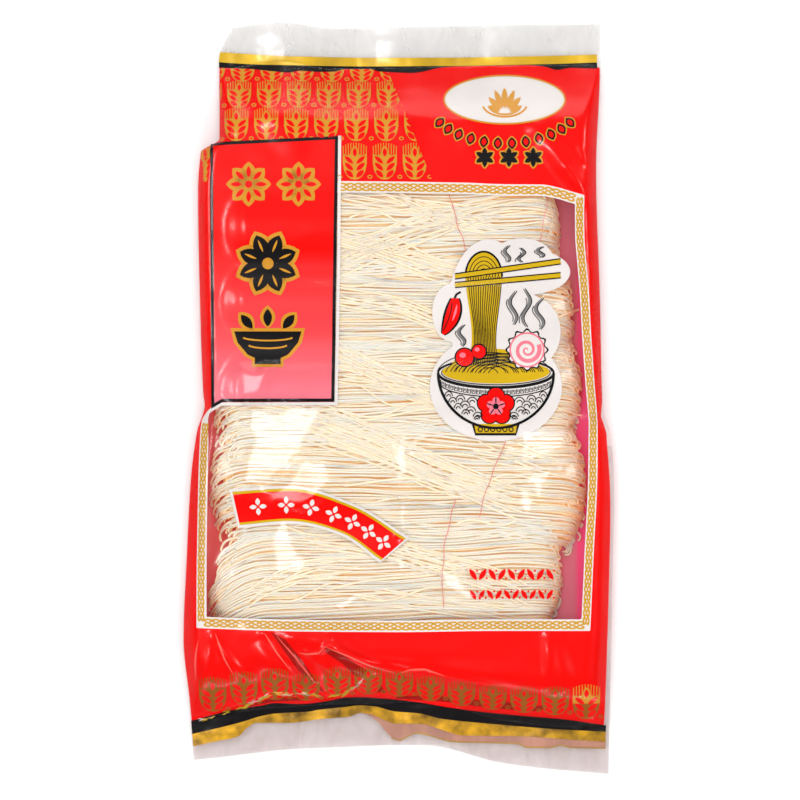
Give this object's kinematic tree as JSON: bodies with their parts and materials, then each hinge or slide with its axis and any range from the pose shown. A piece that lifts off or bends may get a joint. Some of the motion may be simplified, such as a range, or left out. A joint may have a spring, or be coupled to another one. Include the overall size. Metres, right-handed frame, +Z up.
{
  "type": "pack of wheat vermicelli",
  "caption": "Flat sealed film pack of thin wheat noodles, with a clear window over the noodle hanks, lying on its back.",
  "frame": {"origin": "middle of the pack's footprint, on the surface it lies on", "axes": "+Z up through the printed front, +Y towards the pack's top edge, +X towards the right edge of the front"},
  "size_m": [0.181, 0.316, 0.0211],
  "materials": {
    "film": "clear glossy film printed red",
    "clear_film": "clear glossy film",
    "print_gold": "glossy gold ink under film",
    "print_black": "glossy black ink under film",
    "print_white": "glossy white ink under film",
    "noodle": "dry matte wheat dough",
    "thread": "thin twisted thread"
  },
  "bodies": {
    "root": {"bag": "film"}
  },
  "joints": []
}
